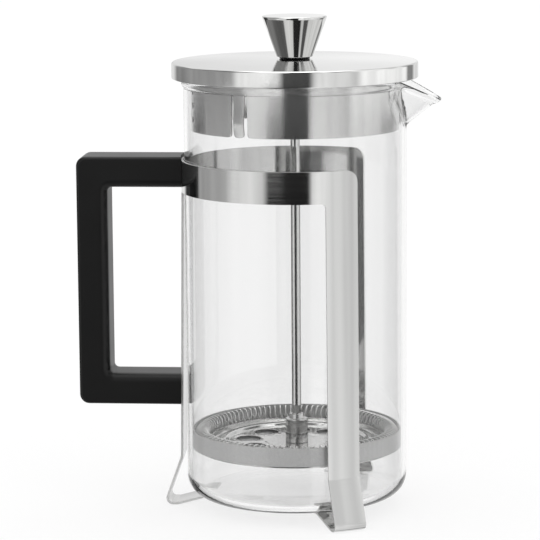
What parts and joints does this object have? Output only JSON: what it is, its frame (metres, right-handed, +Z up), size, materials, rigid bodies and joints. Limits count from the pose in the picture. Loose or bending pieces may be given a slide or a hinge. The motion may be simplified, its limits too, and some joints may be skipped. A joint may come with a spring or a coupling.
{
  "type": "french press",
  "caption": "Coffee press: glass beaker in a three-legged steel frame with a black handle, drum lid and a plunger with a mesh filter.",
  "frame": {"origin": "on the table under the middle of the object's outline, midway between the handle's outer face and the spout's tip", "axes": "+Z up along the beaker axis, +X towards the spout, the handle is along -X"},
  "size_m": [0.1572, 0.1078, 0.214],
  "materials": {
    "brushed_steel": "fine brushed stainless sheet with bright cut edges",
    "polished_steel": "mirror polished stainless",
    "collar_steel": "bright rolled stainless sheet",
    "fastener_steel": "plain stainless",
    "chrome": "mirror polished turned steel",
    "steel_mesh": "fine woven stainless mesh, crimped edge",
    "black_plastic": "fine satin moulded polypropylene",
    "brass": "turned",
    "glass": "clear borosilicate, fire-polished rim"
  },
  "bodies": {
    "stand": {"frame": "brushed_steel", "handle": "black_plastic", "handle_inserts": "brass", "handle_screws": "fastener_steel"},
    "beaker": {"glass_beaker": "glass"},
    "rod_guide": {"rod_bush": "black_plastic", "bush_nut": "black_plastic"},
    "lid": {"lid_cover": "polished_steel", "lid_collar": "collar_steel"},
    "rod": {"plunger_rod": "polished_steel"},
    "knob": {"knob": "chrome"},
    "filter": {"filter_hub": "polished_steel", "spiral_plate": "collar_steel", "coil_spring": "fastener_steel", "mesh_screen": "steel_mesh", "mesh_eyelet": "collar_steel", "cross_plate": "collar_steel", "filter_nut": "fastener_steel"}
  },
  "joints": [
    {"name": "beaker_lift", "type": "slide", "parent": "stand", "child": "beaker", "axis": [0, 0, 1], "range_m": [0, 0.16]},
    {"name": "lid_lift", "type": "slide", "parent": "beaker", "child": "rod_guide", "axis": [0, 0, 1], "range_m": [0, 0.175]},
    {"name": "lid_turn", "type": "hinge", "parent": "rod_guide", "child": "lid", "pos_m": [0.01565, 0, 0.19], "axis": [0, 0, 1], "continuous": true},
    {"name": "plunge", "type": "slide", "parent": "rod_guide", "child": "rod", "axis": [0, 0, 1], "range_m": [0, 0.127]},
    {"name": "knob_turn", "type": "hinge", "parent": "rod", "child": "knob", "pos_m": [0.01565, 0, 0.2], "axis": [0, 0, 1], "continuous": true},
    {"name": "filter_turn", "type": "hinge", "parent": "rod", "child": "filter", "pos_m": [0.01565, 0, 0.03], "axis": [0, 0, 1], "continuous": true}
  ],
  "couplings": [
    {"joint": "filter_turn", "follows": "knob_turn", "ratio": 1}
  ]
}
